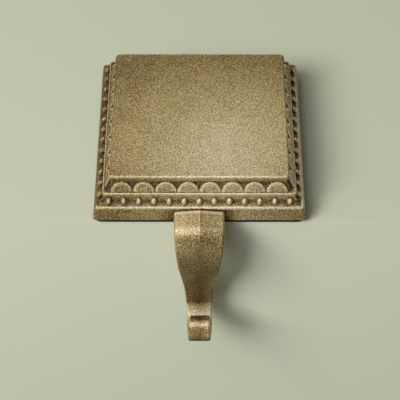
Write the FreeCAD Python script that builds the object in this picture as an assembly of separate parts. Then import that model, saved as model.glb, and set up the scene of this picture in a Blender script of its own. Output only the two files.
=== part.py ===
"""Mantel stocking holder: a square, weighted cast base with a scallop and bead moulding on
all four sides, and a cast hook arm that leaves the front of the base, drops over the
mantel edge and ends in an upturned J for the stocking's loop.

Millimetres. +Z is up, +Y points to the wall, and the hook hangs on the -Y side. The origin
is on the underside of the non-slip pad, below the middle of the square base, so z = 0 is
the top of the mantel and the hook reaches below it.
"""

import FreeCAD
import Part
import math
import os

V = FreeCAD.Vector
X_AXIS = V(1, 0, 0)
Y_AXIS = V(0, 1, 0)
Z_AXIS = V(0, 0, 1)

# Non-slip pad under the casting
pad_thickness = 2.0
pad_inset = 1.0               # metal edge to pad edge
pad_corner_radius = 3.0

# Plain band at the bottom of the casting, flared towards the mantel
base_width = 100.0            # across the flared bottom edge
band_flare = 1.1              # how far each side leans out from top to bottom
band_height = 7.65
band_corner_radius = 1.4
band_top_round = 1.2
band_bottom_round = 0.4

# Bead channel: a hollow moulding between the band and the ledge
rim_width = 1.5               # flat top of the band, outside the channel
channel_height = 3.55
channel_run_in = 2.8          # how far the channel steps in from bottom to top
channel_hollow = 0.55         # depth of the hollow below a straight slope

# Ledge between the beads and the scallops
ledge_overhang = 0.5
ledge_height = 2.0
ledge_corner_radius = 1.6
ledge_top_round = 0.7
ledge_bottom_round = 0.35

# Scallop band: a sloping ground with half-discs standing on the ledge
scallop_band_height = 4.8
scallop_foot_inset = 0.9      # ledge edge to the foot of a scallop's face
scallop_lean = 29.5           # degrees that a scallop's face leans back
scallop_relief = 1.15         # face of a scallop above the ground behind it
scallops_per_side = 8
scallop_overlap = 0.26        # neighbours run into each other at the foot
scallop_raise = 0.2           # centre of a scallop's round edge above the ledge
scallop_row_overrun = 1.0     # row of scallops beyond the top of the ground at each end
scallop_edge_round = 0.7

# Plain plate on top
plate_overhang = 1.65         # plate edge beyond the top of the scallop ground
plate_height = 3.2
plate_corner_radius = 2.2
plate_top_round = 0.9
plate_bottom_round = 0.4

# Beads
beads_per_side = 13
bead_corner_gap = 3.52        # centre of the last bead to the corner of the channel
bead_width = 2.95
bead_length = 3.5
bead_stand_off = 0.7          # bead centre above the hollow of the channel

# Hook arm, along its centreline from the front of the base to the tip
root_thickness = 5.6
tip_thickness = 4.8
root_width = 23.8
neck_width = 12.2
neck_distance = 83.5          # from the front of the base to the neck
tip_width = 9.8
arm_edge_round = 1.2
arm_lift = 0.2                # underside of the arm above the underside of the casting
shoulder_run = 8.5            # straight stretch from the base to the shoulder
shoulder_radius = 3.5         # tight part of the shoulder; radii are the centreline's
shoulder_angle = 60.0
brow_radius = 14.0            # wide part that brings the arm upright
sweep_radius = 63.0           # back towards the mantel, then forward again
sweep_angle = 21.2            # slope of the arm halfway down
bowl_radius = 11.0            # turns the arm from upright to straight out
bowl_angle = 88.0
bowl_run = 3.3                # bottom of the hook, where the loop lies
scroll_radius = 4.0           # tight scroll at the tip
scroll_angle = 216.0          # up and over, so that the tip points back down at the loop
tip_end_round = 2.0
ridge_height = 1.2            # crease along the top of the arm
ridge_fade = 12.0             # it fades out over this distance from the shoulder on
sections_per_leg = 5          # at least, that each curved leg of the arm is lofted through
section_turn = 20.0           # the arm turns no more than this between two sections
root_depth = 6.0              # full-width root of the arm inside the casting
notch_clearance = 0.3         # around the root, in the front of the casting

# Tang of the arm, screwed into a slot in the underside of the casting
tang_width = 20.0
tang_thickness = 4.6
tang_recess = 0.3             # underside of the tang above the pad
tang_length = 38.0
tang_corner_radius = 3.0
slot_side_clearance = 0.2
slot_end_clearance = 0.4

# Countersunk screws through the tang
screw_radius = 2.0
screw_head_radius = 3.8
screw_head_rim = 0.3
screw_length = 12.0
screw_setback = 12.0          # first screw behind the front of the base
screw_spacing = 16.0
screw_hole_clearance = 0.2    # around the screw in the tang
screw_thread_clearance = 0.03
screw_hole_extra = 1.0        # blind hole beyond the screw's end
recess_width = 1.0
recess_span = 4.4
recess_depth = 1.2

# Heights and half widths that follow
casting_bottom = pad_thickness
band_top = casting_bottom + band_height
ledge_bottom = band_top + channel_height
ledge_top = ledge_bottom + ledge_height
plate_bottom = ledge_top + scallop_band_height
plate_top = plate_bottom + plate_height

band_bottom_half = base_width / 2
band_top_half = band_bottom_half - band_flare
channel_bottom_half = band_top_half - rim_width
channel_top_half = channel_bottom_half - channel_run_in
ledge_half = channel_top_half + ledge_overhang
scallop_foot_half = ledge_half - scallop_foot_inset
lean = math.radians(scallop_lean)
ground_bottom_half = scallop_foot_half - scallop_relief / math.cos(lean)
ground_top_half = ground_bottom_half - scallop_band_height * math.tan(lean)
plate_half = ground_top_half + plate_overhang

front_face_y = -band_bottom_half
arm_bottom = casting_bottom + arm_lift
tang_bottom = casting_bottom + tang_recess
tang_top = tang_bottom + tang_thickness
cut_overrun = 1.0             # how far a cutting shape runs past what it cuts
screw_places = [front_face_y + screw_setback + n * screw_spacing for n in range(2)]


def rounded_square(half, radius, z):
    """Closed wire: a square of this half width with round corners, at height z."""
    c = half - radius
    diagonal = radius * math.sqrt(0.5)
    edges = []
    for turn in range(4):
        spin = FreeCAD.Rotation(Z_AXIS, 90 * turn)
        start, end = spin.multVec(V(half, -c, 0)), spin.multVec(V(half, c, 0))
        middle = spin.multVec(V(c + diagonal, c + diagonal, 0))
        after = spin.multVec(V(c, half, 0))
        edges.append(Part.LineSegment(start, end).toShape())
        edges.append(Part.Arc(end, middle, after).toShape())
    wire = Part.Wire(edges)
    wire.translate(V(0, 0, z))
    return wire


def rounded_block(bottom_half, top_half, radius, z_low, z_high):
    """Square block with round upright corners, straight or tapered."""
    low = rounded_square(bottom_half, radius, z_low)
    high = rounded_square(top_half, radius, z_high)
    return Part.makeLoft([low, high], True, True)


def edges_at(solid, z):
    """Edges that lie flat at height z."""
    near = 1e-4
    return [e for e in solid.Edges
            if abs(e.BoundBox.ZMin - z) < near and abs(e.BoundBox.ZMax - z) < near]


def mitred(profile):
    """Moulding on a square: a face in the YZ plane, run along X and along Y, and mitred."""
    reach = base_width
    along_x = profile.copy()
    along_x.translate(V(-reach / 2, 0, 0))
    along_x = along_x.extrude(V(reach, 0, 0))
    along_y = along_x.copy()
    along_y.rotate(V(0, 0, 0), Z_AXIS, 90)
    return along_x.common(along_y)


def make_band():
    """Plain flared band with softened edges."""
    band = rounded_block(band_bottom_half, band_top_half, band_corner_radius,
                         casting_bottom, band_top)
    band = band.makeFillet(band_bottom_round, edges_at(band, casting_bottom))
    return band.makeFillet(band_top_round, edges_at(band, band_top))


def channel_middle():
    """(half width, height) of the middle of the bead channel's hollow."""
    slope = math.atan2(channel_height, channel_run_in)
    middle_half = (channel_bottom_half + channel_top_half) / 2
    middle_z = (band_top + ledge_bottom) / 2
    return (middle_half - channel_hollow * math.sin(slope),
            middle_z - channel_hollow * math.cos(slope))


def make_channel():
    """Hollow moulding that the beads lie in."""
    half, z = channel_middle()
    right = Part.Arc(V(0, channel_bottom_half, band_top), V(0, half, z),
                     V(0, channel_top_half, ledge_bottom)).toShape()
    left = Part.Arc(V(0, -channel_top_half, ledge_bottom), V(0, -half, z),
                    V(0, -channel_bottom_half, band_top)).toShape()
    top = Part.LineSegment(V(0, channel_top_half, ledge_bottom),
                           V(0, -channel_top_half, ledge_bottom)).toShape()
    bottom = Part.LineSegment(V(0, -channel_bottom_half, band_top),
                              V(0, channel_bottom_half, band_top)).toShape()
    return mitred(Part.Face(Part.Wire([right, top, left, bottom])))


def make_ledge():
    """Thin moulded ledge above the beads."""
    ledge = rounded_block(ledge_half, ledge_half, ledge_corner_radius, ledge_bottom, ledge_top)
    ledge = ledge.makeFillet(ledge_top_round, edges_at(ledge, ledge_top))
    return ledge.makeFillet(ledge_bottom_round, edges_at(ledge, ledge_bottom))


def make_scallop_ground():
    """Sloping ground behind the scallops."""
    corners = [V(0, ground_bottom_half, ledge_top), V(0, ground_top_half, plate_bottom),
               V(0, -ground_top_half, plate_bottom), V(0, -ground_bottom_half, ledge_top)]
    return mitred(Part.Face(Part.makePolygon(corners + corners[:1])))


def make_plate():
    """Plain plate with softened edges."""
    plate = rounded_block(plate_half, plate_half, plate_corner_radius, plate_bottom, plate_top)
    plate = plate.makeFillet(plate_top_round, edges_at(plate, plate_top))
    return plate.makeFillet(plate_bottom_round, edges_at(plate, plate_bottom))


def on_all_sides(shape):
    """The shape on the front of the base, and its copies on the other three sides."""
    copies = []
    for turn in range(4):
        copy = shape.copy()
        copy.rotate(V(0, 0, 0), Z_AXIS, 90 * turn)
        copies.append(copy)
    return copies


def make_scallops():
    """Scallops that stand on the ledge and lean back under the plate, each a little more than
    a half-disc and running into the next at its foot."""
    pitch = 2 * (ground_top_half + scallop_row_overrun) / scallops_per_side
    radius = (pitch + scallop_overlap) / 2
    outward = V(0, -math.cos(lean), math.sin(lean))
    foot = V(0, -scallop_foot_half, ledge_top)
    centre = foot + V(0, math.sin(lean), math.cos(lean)) * scallop_raise
    depth = 2 * scallop_relief
    disc = Part.makeCylinder(radius, depth, centre - outward * depth, outward)
    face_edge = max(disc.Edges, key=lambda e: e.BoundBox.Center.dot(outward))
    disc = disc.makeFillet(scallop_edge_round, [face_edge])
    above = Part.makeBox(3 * radius, 3 * radius, plate_bottom - ledge_top,
                         foot - V(1.5 * radius, 1.5 * radius, 0))
    half_disc = disc.common(above)
    solids = []
    for n in range(scallops_per_side):
        copy = half_disc.copy()
        copy.translate(V((n - (scallops_per_side - 1) / 2) * pitch, 0, 0))
        solids += on_all_sides(copy)
    return solids


def make_beads():
    """Oval beads lying in the channel, longer up the slope than across it."""
    slope = math.atan2(channel_height, channel_run_in)
    half, z = channel_middle()
    centre = V(0, -half - bead_stand_off * math.sin(slope), z + bead_stand_off * math.cos(slope))
    stretch = FreeCAD.Matrix()
    stretch.scale(1, bead_length / bead_width, 1)
    bead = Part.makeSphere(bead_width / 2).transformGeometry(stretch)
    bead.rotate(V(0, 0, 0), X_AXIS, math.degrees(slope))
    pitch = 2 * (half - bead_corner_gap) / (beads_per_side - 1)
    solids = []
    for n in range(beads_per_side):
        copy = bead.copy()
        copy.translate(centre + V((n - (beads_per_side - 1) / 2) * pitch, 0, 0))
        solids += on_all_sides(copy)
    return solids


def tang_block(grow_side, grow_end, z_low, z_high):
    """Round-ended block of the tang's outline, grown by these clearances."""
    half = tang_width / 2 + grow_side
    back = front_face_y + tang_length + grow_end
    front = front_face_y - grow_end
    block = Part.makeBox(2 * half, back - front, z_high - z_low, V(-half, front, z_low))
    rear_corners = [e for e in block.Edges
                    if abs(e.BoundBox.YMin - back) < 1e-4 and abs(e.BoundBox.YMax - back) < 1e-4
                    and e.BoundBox.ZLength > z_high - z_low - 1e-3]
    return block.makeFillet(tang_corner_radius + grow_side, rear_corners)


def screw_holes(radius, z_low, z_high):
    """Cylinders on the two screw axes."""
    return [Part.makeCylinder(radius, z_high - z_low, V(0, y, z_low)) for y in screw_places]


def make_base_casting():
    """The whole casting: mouldings, ornament, tang slot and threaded holes."""
    layers = [make_channel(), make_ledge(), make_scallop_ground(), make_plate()]
    body = make_band().multiFuse(layers + make_scallops() + make_beads())
    slot = tang_block(slot_side_clearance, slot_end_clearance,
                      casting_bottom - cut_overrun, tang_top)
    notch_half = root_width / 2 + notch_clearance
    notch_back = front_face_y + root_depth + notch_clearance
    notch_top = arm_bottom + root_thickness + ridge_height + notch_clearance
    notch = Part.makeBox(2 * notch_half, notch_back - front_face_y + cut_overrun,
                         notch_top - casting_bottom + cut_overrun,
                         V(-notch_half, front_face_y - cut_overrun, casting_bottom - cut_overrun))
    threads = screw_holes(screw_radius + screw_thread_clearance, tang_top - cut_overrun,
                          tang_bottom + screw_length + screw_hole_extra)
    return body.cut([slot, notch] + threads).removeSplitter()


def arm_legs():
    """The arm's centreline as (length, signed curvature) legs, first the root inside the
    casting. Positive curvature turns the arm down and back towards the mantel."""
    shoulder = math.radians(shoulder_angle)
    sweep = math.radians(sweep_angle)
    return [
        (root_depth, 0.0),
        (shoulder_run, 0.0),
        (shoulder_radius * shoulder, 1 / shoulder_radius),
        (brow_radius * (math.pi / 2 - shoulder), 1 / brow_radius),
        (sweep_radius * sweep, 1 / sweep_radius),
        (sweep_radius * sweep, -1 / sweep_radius),
        (bowl_radius * math.radians(bowl_angle), -1 / bowl_radius),
        (bowl_run, 0.0),
        (scroll_radius * math.radians(scroll_angle), -1 / scroll_radius),
    ]


def arm_stations():
    """For each leg its stations, (distance, y, z, heading). The distance counts from the front
    of the base. Heading 0 is straight out from the base, and 90 degrees is straight down."""
    station = (-root_depth, front_face_y + root_depth, arm_bottom + root_thickness / 2, 0.0)
    legs = []
    for length, curvature in arm_legs():
        turns = math.ceil(math.degrees(abs(length * curvature)) / section_turn)
        steps = max(sections_per_leg - 1, turns) if curvature else 1
        step = length / steps
        half_turn = step * curvature / 2
        chord = step * math.sin(half_turn) / half_turn if curvature else step
        stations = [station]
        for _ in range(steps):
            travelled, y, z, heading = station
            along = heading + half_turn
            station = (travelled + step, y - chord * math.cos(along),
                       z - chord * math.sin(along), along + half_turn)
            stations.append(station)
        legs.append(stations)
    return legs


def tip_distance():
    """Distance along the arm from the front of the base to the tip."""
    return sum(length for length, _ in arm_legs()) - root_depth


def arm_width(travelled):
    """Ogee taper from the root to the neck, then straight to the tip."""
    if travelled < neck_distance:
        share = (1 + math.cos(math.pi * max(0.0, travelled) / neck_distance)) / 2
        return neck_width + (root_width - neck_width) * share
    share = (travelled - neck_distance) / (tip_distance() - neck_distance)
    return neck_width + (tip_width - neck_width) * share


def arm_thickness(travelled):
    share = max(0.0, travelled) / tip_distance()
    return root_thickness + (tip_thickness - root_thickness) * share


def arm_section(travelled, y, z, heading, inset=0.0):
    """Round-edged section square to the centreline, with the crease on its outer face. An
    inset section has smaller round edges, in step with its thickness."""
    half_w = arm_width(travelled) / 2 - inset
    half_t = arm_thickness(travelled) / 2 - inset
    faded = min(1.0, max(0.0, (travelled - shoulder_run) / ridge_fade))
    ridge = ridge_height * (1 + math.cos(math.pi * faded)) / 2
    r = arm_edge_round * half_t / (half_t + inset)
    cut = r * (1 - math.sqrt(0.5))
    outer = V(0, -math.sin(heading), math.cos(heading))
    centre = V(0, y, z)

    def at(x, out):
        return centre + X_AXIS * x + outer * out

    line, arc = Part.LineSegment, Part.Arc
    edges = [
        line(at(half_w - r, -half_t), at(-half_w + r, -half_t)),
        arc(at(-half_w + r, -half_t), at(-half_w + cut, -half_t + cut), at(-half_w, -half_t + r)),
        line(at(-half_w, -half_t + r), at(-half_w, half_t - r)),
        arc(at(-half_w, half_t - r), at(-half_w + cut, half_t - cut), at(-half_w + r, half_t)),
        line(at(-half_w + r, half_t), at(0, half_t + ridge)),
        line(at(0, half_t + ridge), at(half_w - r, half_t)),
        arc(at(half_w - r, half_t), at(half_w - cut, half_t - cut), at(half_w, half_t - r)),
        line(at(half_w, half_t - r), at(half_w, -half_t + r)),
        arc(at(half_w, -half_t + r), at(half_w - cut, -half_t + cut), at(half_w - r, -half_t)),
    ]
    return Part.Wire([e.toShape() for e in edges])


def make_tip_end(station):
    """Rounded end beyond the arm's last station: sections that close in on a quarter circle."""
    travelled, y, z, heading = station
    sections = []
    for angle in (0, 22.5, 45, 67.5, 90):
        forward = tip_end_round * math.sin(math.radians(angle))
        inset = tip_end_round * (1 - math.cos(math.radians(angle)))
        sections.append(arm_section(travelled, y - forward * math.cos(heading),
                                    z - forward * math.sin(heading), heading, inset))
    return Part.makeLoft(sections, True, True)


def make_hook_arm():
    """Arm lofted along its centreline, with the tang behind it."""
    legs = arm_stations()
    pieces = [Part.makeLoft([arm_section(*station) for station in leg], True, len(leg) == 2)
              for leg in legs]
    pieces.append(make_tip_end(legs[-1][-1]))
    arm = tang_block(0, 0, tang_bottom, tang_top).multiFuse(pieces).removeSplitter()
    cones = []
    for y in screw_places:
        cones.append(Part.makeCylinder(screw_head_radius, screw_head_rim + cut_overrun,
                                       V(0, y, tang_bottom - cut_overrun)))
        cones.append(Part.makeCone(screw_head_radius, screw_radius,
                                   screw_head_radius - screw_radius,
                                   V(0, y, tang_bottom + screw_head_rim)))
    holes = screw_holes(screw_radius + screw_hole_clearance,
                        tang_bottom - cut_overrun, tang_top + cut_overrun)
    return arm.cut(cones + holes).removeSplitter()


def make_screw(y):
    """Countersunk screw with a cross recess, head down."""
    head_bottom = tang_bottom
    cone_bottom = head_bottom + screw_head_rim
    cone_height = screw_head_radius - screw_radius
    rim = Part.makeCylinder(screw_head_radius, screw_head_rim, V(0, y, head_bottom))
    cone = Part.makeCone(screw_head_radius, screw_radius, cone_height, V(0, y, cone_bottom))
    shank = Part.makeCylinder(screw_radius, screw_length - screw_head_rim, V(0, y, cone_bottom))
    screw = rim.multiFuse([cone, shank])
    for length, width in ((recess_span, recess_width), (recess_width, recess_span)):
        screw = screw.cut(Part.makeBox(length, width, recess_depth,
                                       V(-length / 2, y - width / 2, head_bottom)))
    return screw.removeSplitter()


def make_pad():
    """Non-slip pad glued to the underside of the casting."""
    half = band_bottom_half - pad_inset
    return rounded_block(half, half, pad_corner_radius, 0, pad_thickness)


def main():
    os.makedirs("parts", exist_ok=True)
    nodes = {
        "base_casting": make_base_casting(),
        "hook_arm": make_hook_arm(),
        "tang_screws": Part.makeCompound([make_screw(y) for y in screw_places]),
        "non_slip_pad": make_pad(),
    }
    for name, shape in nodes.items():
        shape.exportStep(f"parts/{name}.step")
        print(name, "solids", len(shape.Solids), "valid", shape.isValid(),
              "faces", len(shape.Faces), "volume", round(shape.Volume, 1))


main()
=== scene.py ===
"""Mantel stocking holder: the looks of the cast base, its scallop and bead mouldings, the hook
arm and the parts under the base, with a plain ledge, soft light and the photograph's camera."""

import math

import bmesh
import bpy
from bpy.props import FloatProperty, FloatVectorProperty, IntProperty, PointerProperty
from bpy.types import Operator, Panel, PropertyGroup
from mathutils import Matrix, Vector


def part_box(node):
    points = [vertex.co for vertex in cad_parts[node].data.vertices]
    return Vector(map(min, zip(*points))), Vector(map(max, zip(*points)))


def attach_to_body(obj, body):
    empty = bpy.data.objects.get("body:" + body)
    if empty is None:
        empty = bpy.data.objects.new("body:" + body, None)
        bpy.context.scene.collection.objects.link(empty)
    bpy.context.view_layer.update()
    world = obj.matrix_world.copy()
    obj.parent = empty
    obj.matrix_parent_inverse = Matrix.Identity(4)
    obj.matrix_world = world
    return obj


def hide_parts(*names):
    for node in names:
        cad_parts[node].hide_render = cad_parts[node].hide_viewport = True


bl_info = {
    "name": "Mantel Stocking Holder",
    "version": (1, 0, 0),
    "blender": (4, 5, 0),
    "location": "View3D > Sidebar > Stocking Holder",
    "description": "Builds a cast stocking holder with a moulded base and a hook arm",
    "category": "Object",
}

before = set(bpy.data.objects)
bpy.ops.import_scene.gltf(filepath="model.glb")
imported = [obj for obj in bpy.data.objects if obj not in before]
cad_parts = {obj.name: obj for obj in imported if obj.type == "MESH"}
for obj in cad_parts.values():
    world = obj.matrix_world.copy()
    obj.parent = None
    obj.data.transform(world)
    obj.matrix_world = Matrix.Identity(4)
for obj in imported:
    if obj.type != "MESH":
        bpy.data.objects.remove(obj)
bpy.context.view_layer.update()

MM = 0.001
PAD_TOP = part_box("non_slip_pad")[1][2]
BASE_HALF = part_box("base_casting")[1][0]


def length(name, description, millimetres):
    """A length property, given in millimetres and kept in metres."""
    return FloatProperty(name=name, description=description, default=millimetres * MM,
                         unit="LENGTH", precision=5)


def angle(name, description, degrees):
    """An angle property, given in degrees and kept in radians."""
    return FloatProperty(name=name, description=description, default=math.radians(degrees),
                         subtype="ANGLE")


def number(name, description, value, unit="NONE"):
    """A property without a unit, or in the unit of a lamp's power or a lens."""
    return FloatProperty(name=name, description=description, default=value, unit=unit)


def colour(name, description, rgb):
    """A colour property."""
    return FloatVectorProperty(name=name, description=description, default=rgb, size=3,
                               subtype="COLOR", min=0.0, max=1.0)


# Settings

class BaseSizes(PropertyGroup):
    """Sizes of the moulded base"""
    half_width: FloatProperty(name="Half width", description="Half the width at the mantel",
                              default=BASE_HALF, unit="LENGTH", precision=5)
    bottom: FloatProperty(name="Bottom", description="Height of the metal's lower edge",
                          default=PAD_TOP, unit="LENGTH", precision=5)
    band_corner: length("Band corner", "Upright corners of the band", 1.4)
    inner_corner: length("Inner corner", "Corners of the channel and the ground", 0.3)
    ledge_corner: length("Ledge corner", "Upright corners of the ledge", 1.6)
    plate_corner: length("Plate corner", "Upright corners of the plate", 2.2)
    band_flare: length("Band flare", "How far the band leans out", 1.0)
    band_height: length("Band height", "Plain band at the bottom", 7.65)
    rim_width: length("Rim width", "Flat above the band", 1.4)
    channel_height: length("Channel height", "Hollow that the beads lie in", 3.55)
    channel_run_in: length("Channel run-in", "Step of the channel towards the middle", 2.8)
    channel_hollow: length("Channel hollow", "Depth of the channel", 0.55)
    ledge_overhang: length("Ledge overhang", "Ledge beyond the channel", 0.5)
    ledge_height: length("Ledge height", "Thin ledge above the beads", 2.0)
    ground_foot: length("Ground foot", "Ledge edge to the scallop ground", 2.22)
    ground_height: length("Ground height", "Sloping ground behind the scallops", 4.8)
    lean: angle("Lean", "Lean of the scallop ground", 29.5)
    plate_overhang: length("Plate overhang", "Plate beyond the ground's top", 1.65)
    plate_height: length("Plate height", "Plain plate on top", 3.2)
    arris_round: length("Arris rounding", "Rounding of the bright edges", 0.7)
    # the band beside the arm is painted darker, as painted shade of the arm's root
    notch_shade_half: length("Soiled half width", "Half of the band that is dull around the arm", 19.0)
    notch_shade_tone: number("Notch tone", "Rubbing of the band beside the arm", 0.16)
    # painted light and shade on the left and right sides of the base, for how the light falls on
    # each: factors and lifts of the front's tone
    right_painted_light: number("Right wear", "Rubbing of the right side, next to the front's", 1.15)
    right_painted_lift: number("Right lift", "Rubbing of the right side beyond that", 0.06)
    left_band_painted_shade: number("Left band wear", "Rubbing of the left band, next to the front's", 0.44)
    left_ground_painted_shade: number("Left ground wear", "Rubbing behind the left scallops, next to the "
                             "front's", 0.35)
    plate_edge_painted_shade: number("Plate edge wear", "Rubbing of the plate's left and right edges, "
                            "next to its front's", 0.7)


class OrnamentSizes(PropertyGroup):
    """Sizes of the scallops and beads"""
    scallops: IntProperty(name="Scallops", description="Scallops on each side", default=8, min=1)
    scallop_overlap: length("Scallop overlap", "Neighbours run into each other", 0.26)
    scallop_raise: length("Scallop raise", "Centre of the round edge above the ledge", 0.2)
    row_overrun: length("Row overrun", "Row of scallops beyond the ground's top", 1.0)
    scallop_relief: length("Scallop relief", "Face above the ground", 1.15)
    scallop_edge: length("Scallop edge", "Rounding of a scallop's face", 0.75)
    scallop_dome: length("Scallop dome", "Swell of a scallop's face", 0.15)
    beads: IntProperty(name="Beads", description="Beads on each side", default=13, min=1)
    bead_corner_gap: length("Bead corner gap", "Last bead to the channel's corner", 3.52)
    bead_width: length("Bead width", "Along the channel", 2.95)
    bead_length: length("Bead length", "Up the channel's slope", 3.5)
    bead_stand_off: length("Bead stand-off", "Bead centre above the hollow", 0.7)


class ArmSizes(PropertyGroup):
    """Sizes of the hook arm"""
    bottom: length("Underside", "Height of the arm's underside at the base", 2.2)
    root_width: length("Root width", "At the base", 23.8)
    root_thickness: length("Root thickness", "At the base", 5.6)
    root_depth: length("Root depth", "Full width inside the casting", 6.0)
    neck_width: length("Neck width", "Where the curl starts", 12.2)
    neck_distance: length("Neck distance", "From the base to the neck", 83.5)
    tip_width: length("Tip width", "At the tip", 9.8)
    tip_thickness: length("Tip thickness", "At the tip", 4.8)
    edge_round: length("Edge rounding", "Long edges of the arm", 1.2)
    shoulder_run: length("Shoulder run", "Straight stretch from the base", 8.5)
    shoulder_radius: length("Shoulder radius", "Tight part of the shoulder", 3.5)
    brow_radius: length("Brow radius", "Wide part of the shoulder", 14.0)
    sweep_radius: length("Sweep radius", "Back to the mantel and forward", 63.0)
    bowl_radius: length("Bowl radius", "Turn to the bottom of the hook", 11.0)
    bowl_run: length("Bowl run", "Bottom of the hook, where the loop lies", 3.3)
    scroll_radius: length("Scroll radius", "Tight scroll at the tip", 4.0)
    tip_round: length("Tip rounding", "Rounded end of the tip", 2.0)
    ridge: length("Crease height", "Crease along the top of the arm", 1.1)
    ridge_fade: length("Crease fade", "Distance over which it fades", 12.0)
    # the crease's line, of this half width, carries a painted highlight
    ridge_line: length("Crease line", "Half width of its rubbed line", 0.45)
    edge_wear: number("Edge wear", "Rubbing of the long edges beyond that of the faces", 0.14)
    # painted highlight on the crease's line, beyond the faces' tone
    crease_highlight: number("Crease wear", "Rubbing of the crease beyond that of the faces", 0.4)
    shoulder_angle: angle("Shoulder angle", "Turn of the tight part", 60)
    sweep_angle: angle("Sweep angle", "Slope halfway down", 21.2)
    bowl_angle: angle("Bowl angle", "Turn to the bottom", 88)
    scroll_angle: angle("Scroll angle", "Turn of the scroll", 216)
    tang_width: length("Tang width", "Plate under the base", 20.0)
    tang_length: length("Tang length", "Behind the front of the base", 38.0)
    tang_thickness: length("Tang thickness", "Plate under the base", 4.6)
    tang_recess: length("Tang recess", "Above the pad", 0.3)
    slot_clearance: length("Slot clearance", "Casting clear of the tang and root", 0.3)
    tang_corner: length("Tang corner", "Round corners at the tang's end", 3.0)
    screw_radius: length("Screw radius", "Screws through the tang", 2.0)
    screw_clearance: length("Screw clearance", "Holes in the tang around the screws", 0.2)
    screw_head_radius: length("Screw head radius", "Countersunk heads", 3.8)
    first_screw: length("First screw", "Behind the front of the base", 12.0)
    screw_spacing: length("Screw spacing", "Between the screws", 16.0)


class Finish(PropertyGroup):
    """Colours and wear of the antique brass, the pad and the screws"""
    recess: colour("Recess", "Dark lacquer left in the recesses", (0.045, 0.019, 0.011))
    shade: colour("Shade", "Brass where little is rubbed off", (0.215, 0.132, 0.038))
    brass: colour("Brass", "Open faces", (0.56, 0.402, 0.145))
    rubbed: colour("Rubbed", "Arrises and tops of the beads", (0.84, 0.665, 0.32))
    # bare is also the colour of the brightest painted highlights, in the arm's bowl and on its
    # crease
    bare: colour("Bare", "Metal where the finish is gone", (0.95, 0.84, 0.66))
    rubber: colour("Rubber", "Pad under the base", (0.012, 0.012, 0.012))
    steel: colour("Steel", "Screws", (0.55, 0.55, 0.56))
    grain: length("Grain", "Size of the fine cast grain", 0.35)
    mottle: length("Mottle", "Size of the cloudy variation", 16.0)
    grain_contrast: number("Grain contrast", "Spread of the rubbing in the grain", 1.9)
    mottle_contrast: number("Mottle contrast", "Spread of the rubbing in the clouds", 0.24)
    # a painted highlight together with wear: lighter at the front right of the base, darker at the
    # reach from there
    near_wear_and_sheen: number("Near wear", "Extra rubbing at the front right of the base", 0.31)
    far_wear_and_sheen: number("Far wear", "Extra rubbing at the wear's reach from there", -0.25)
    wear_and_sheen_reach: length("Wear reach", "Distance over which the extra rubbing changes", 75.0)
    metallic: number("Metallic", "Share of bare metal in the finish", 0.74)
    roughness: number("Roughness", "Of the brass finish", 0.42)
    coat: number("Coat", "Weight of the lacquer", 0.35)
    coat_roughness: number("Coat roughness", "Of the lacquer", 0.36)


class StageSettings(PropertyGroup):
    """Ledge, light and camera"""
    top_colour: colour("Ledge top", "Paint on the flat top", (0.406, 0.416, 0.309))
    front_colour: colour("Ledge front", "Paint on the upright front", (0.585, 0.605, 0.462))
    edge_shade: number("Edge shade", "Paint on the rounded edge, next to the flat top's", 0.86)
    warmth: number("Warmth", "Blue in the room light, next to its red", 0.90)
    backdrop: colour("Backdrop", "Seen beyond the ledge", (0.503, 0.515, 0.392))
    front_gap: length("Front gap", "Ledge front behind the arm", 4.0)
    edge_radius: length("Edge radius", "Rounded front edge of the ledge", 1.2)
    camera_x: length("Camera X", "Camera place", 2.5)
    camera_y: length("Camera Y", "Camera place", -503.1)
    camera_z: length("Camera Z", "Camera place", 524.2)
    pitch: angle("Pitch", "Camera looks down by", 48.252)
    yaw: angle("Yaw", "Camera turned to the right by", -0.276)
    roll: angle("Roll", "Camera roll", -0.15)
    lens: number("Lens", "Focal length on a 36 mm sensor", 132.8, "CAMERA")
    key_power: number("Key power", "Large soft lamp", 69.4, "POWER")
    top_power: number("Top power", "Lamp overhead", 1.6, "POWER")
    front_power: number("Front power", "Lamp over the camera", 1.6, "POWER")


SETTINGS = {
    "holder_base": BaseSizes,
    "holder_ornament": OrnamentSizes,
    "holder_arm": ArmSizes,
    "holder_finish": Finish,
    "holder_stage": StageSettings,
}


# Mesh helpers

def whole(bm):
    """All points, edges and faces of a bmesh."""
    return bm.verts[:] + bm.edges[:] + bm.faces[:]


def points_in(items):
    """The points among parts of a bmesh."""
    return [item for item in items if isinstance(item, bmesh.types.BMVert)]


def outline_face(bm, half_x, half_y, radius, segments):
    """A flat rectangle with round corners, as one face that faces up."""
    bmesh.ops.create_grid(bm, x_segments=1, y_segments=1, size=1.0)
    bmesh.ops.scale(bm, vec=(half_x, half_y, 1.0), verts=bm.verts)
    bmesh.ops.bevel(bm, geom=bm.verts[:], affect="VERTICES", offset=radius,
                    offset_type="OFFSET", segments=segments, profile=0.5, material=-1)
    bm.faces.ensure_lookup_table()
    return bm.faces[0]


def mark_outline(bm, half_x, half_y):
    """Each outline point's place from its own corner or side, so that the outline can grow."""
    side = bm.verts.layers.float_vector.new("side")
    offset = bm.verts.layers.float_vector.new("offset")
    for vert in bm.verts:
        sign_x = 0.0 if abs(vert.co.x) < 1e-7 else math.copysign(1.0, vert.co.x)
        sign_y = 0.0 if abs(vert.co.y) < 1e-7 else math.copysign(1.0, vert.co.y)
        vert[side] = (sign_x, sign_y, 0.0)
        vert[offset] = (vert.co.x - sign_x * half_x, vert.co.y - sign_y * half_y, 0.0)
    return side, offset


def next_ring(bm, face):
    """Extrudes the end face of a sweep and returns the new end face."""
    is_first = len(bm.faces) == 1
    grown = bmesh.ops.extrude_face_region(bm, geom=[face])
    if not is_first:
        bm.faces.remove(face)
    return next(item for item in grown["geom"] if isinstance(item, bmesh.types.BMFace))


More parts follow.
